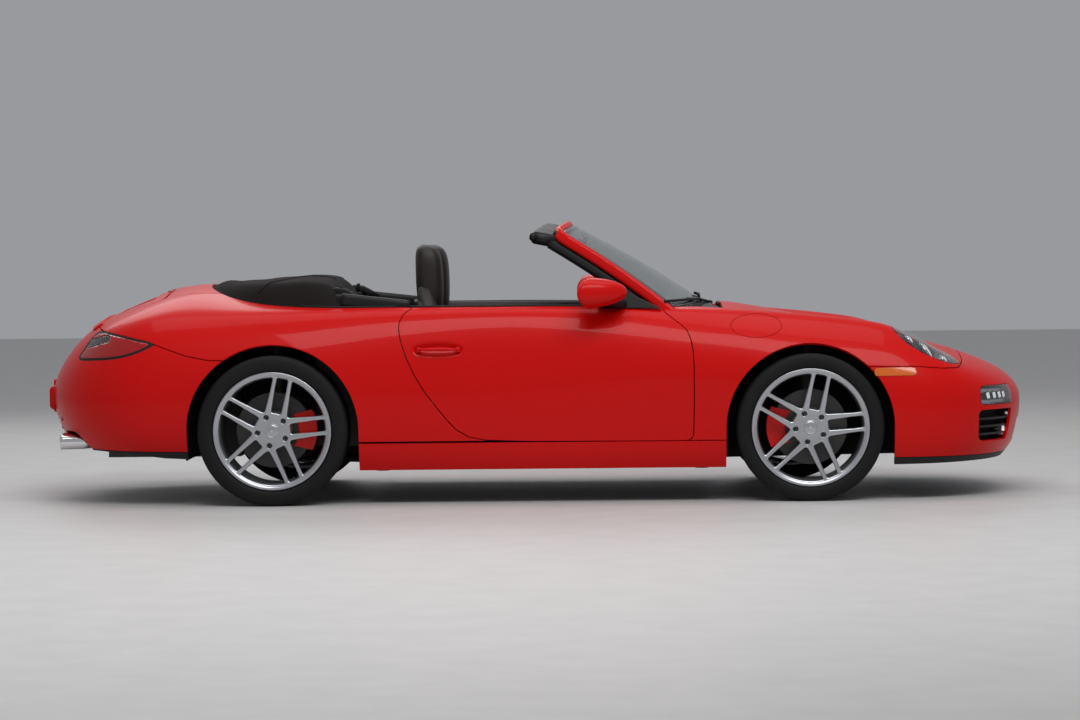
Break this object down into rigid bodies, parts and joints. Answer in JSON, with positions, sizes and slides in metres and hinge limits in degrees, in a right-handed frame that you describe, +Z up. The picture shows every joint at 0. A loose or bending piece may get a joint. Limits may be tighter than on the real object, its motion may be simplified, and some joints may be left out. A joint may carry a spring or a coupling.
{
  "type": "convertible sports car",
  "caption": "Open rear-engined sports car with a folded cloth top, opening doors and lids, steered front wheels and turning road wheels.",
  "frame": {"origin": "on the ground at the middle of the length and width", "axes": "+X forward, +Y to the car's left, +Z up"},
  "size_m": [4.435, 1.956, 1.2387],
  "materials": {
    "paint": "deep gloss paint",
    "black_trim": "satin black",
    "underbody": "satin coating",
    "leather": "dark brown, grained",
    "fabric": "dark woven top cloth",
    "glass": "clear",
    "lamp_clear": "clear lens",
    "lamp_red": "red lens",
    "lamp_amber": "amber lens",
    "silver": "silver lacquer",
    "tyre": "rubber",
    "disc": "machined",
    "caliper": "red enamel",
    "steel": "bare",
    "chrome": "polished",
    "iron": "as cast"
  },
  "bodies": {
    "chassis": {"floor_pan": "underbody", "luggage_tub": "underbody", "rear_frame": "underbody", "front_fender_left": "paint", "front_fender_right": "paint", "front_bumper": "paint", "rear_quarter_left": "paint", "rear_quarter_right": "paint", "rear_bumper": "paint", "rear_valance": "black_trim", "sills": "paint", "windscreen_frame": "paint", "windscreen": "glass", "cowl": "black_trim", "dashboard": "leather", "console": "leather", "seat_left": "leather", "seat_right": "leather", "rear_seat": "leather", "soft_top": "fabric", "top_cover": "paint", "cabin_trim": "black_trim", "headlamps": "lamp_clear", "tail_lamps": "lamp_red", "bumper_lamps": "lamp_clear", "side_markers": "lamp_amber", "intake_grilles": "black_trim", "engine": "iron", "gearbox": "iron", "exhaust": "chrome", "calipers_rear": "caliper", "suspension_front": "steel", "suspension_rear": "steel"},
    "door_l": {"door_left": "paint", "mirror_left": "paint"},
    "door_r": {"door_right": "paint", "mirror_right": "paint"},
    "bonnet": {"front_lid": "paint"},
    "rear_lid": {"engine_lid": "paint"},
    "filler_flap": {"fuel_flap": "paint"},
    "helm": {"steering_wheel": "leather"},
    "hub_front_l": {"knuckle_left": "iron", "caliper_front_left": "caliper"},
    "hub_front_r": {"knuckle_right": "iron", "caliper_front_right": "caliper"},
    "wheel_front_left": {"tyre_front_left": "tyre", "rim_front_left": "silver", "brake_disc_front_left": "disc"},
    "wheel_front_right": {"tyre_front_right": "tyre", "rim_front_right": "silver", "brake_disc_front_right": "disc"},
    "wheel_rear_left": {"tyre_rear_left": "tyre", "rim_rear_left": "silver", "brake_disc_rear_left": "disc"},
    "wheel_rear_right": {"tyre_rear_right": "tyre", "rim_rear_right": "silver", "brake_disc_rear_right": "disc"}
  },
  "joints": [
    {"name": "steer_left", "type": "hinge", "parent": "chassis", "child": "hub_front_l", "pos_m": [1.2075, 0.681, 0.323], "axis": [0, 0, 1], "range_deg": [-38, 38]},
    {"name": "steer_right", "type": "hinge", "parent": "chassis", "child": "hub_front_r", "pos_m": [1.2075, -0.681, 0.323], "axis": [0, 0, 1], "range_deg": [-38, 38]},
    {"name": "steering_wheel_turn", "type": "hinge", "parent": "chassis", "child": "helm", "pos_m": [0.2225, 0.37, 0.722], "axis": [-0.9135, 0, 0.4067], "range_deg": [-532, 532]},
    {"name": "door_left_open", "type": "hinge", "parent": "chassis", "child": "door_l", "pos_m": [0.652, 0.848, 0.52], "axis": [0, 0, -1], "range_deg": [0, 62]},
    {"name": "door_right_open", "type": "hinge", "parent": "chassis", "child": "door_r", "pos_m": [0.652, -0.848, 0.52], "axis": [0, 0, 1], "range_deg": [0, 62]},
    {"name": "front_lid_open", "type": "hinge", "parent": "chassis", "child": "bonnet", "pos_m": [0.8435, 0, 0.85524], "axis": [0, -1, 0], "range_deg": [0, 60]},
    {"name": "engine_lid_open", "type": "hinge", "parent": "chassis", "child": "rear_lid", "pos_m": [-1.6285, 0, 0.93456], "axis": [0, 1, 0], "range_deg": [0, 55]},
    {"name": "fuel_flap_open", "type": "hinge", "parent": "chassis", "child": "filler_flap", "pos_m": [1.0765, -0.78401, 0.76352], "axis": [0, 0.7469, 0.6649], "range_deg": [0, 80]},
    {"name": "wheel_front_left_roll", "type": "hinge", "parent": "hub_front_l", "child": "wheel_front_left", "pos_m": [1.2075, 0.743, 0.323], "axis": [0, 1, 0], "continuous": true},
    {"name": "wheel_rear_left_roll", "type": "hinge", "parent": "chassis", "child": "wheel_rear_left", "pos_m": [-1.1425, 0.75, 0.329], "axis": [0, 1, 0], "continuous": true},
    {"name": "wheel_front_right_roll", "type": "hinge", "parent": "hub_front_r", "child": "wheel_front_right", "pos_m": [1.2075, -0.743, 0.323], "axis": [0, 1, 0], "continuous": true},
    {"name": "wheel_rear_right_roll", "type": "hinge", "parent": "chassis", "child": "wheel_rear_right", "pos_m": [-1.1425, -0.75, 0.329], "axis": [0, 1, 0], "continuous": true}
  ],
  "couplings": [
    {"joint": "steer_right", "follows": "steer_left", "ratio": 1},
    {"joint": "steering_wheel_turn", "follows": "steer_left", "ratio": 14}
  ]
}
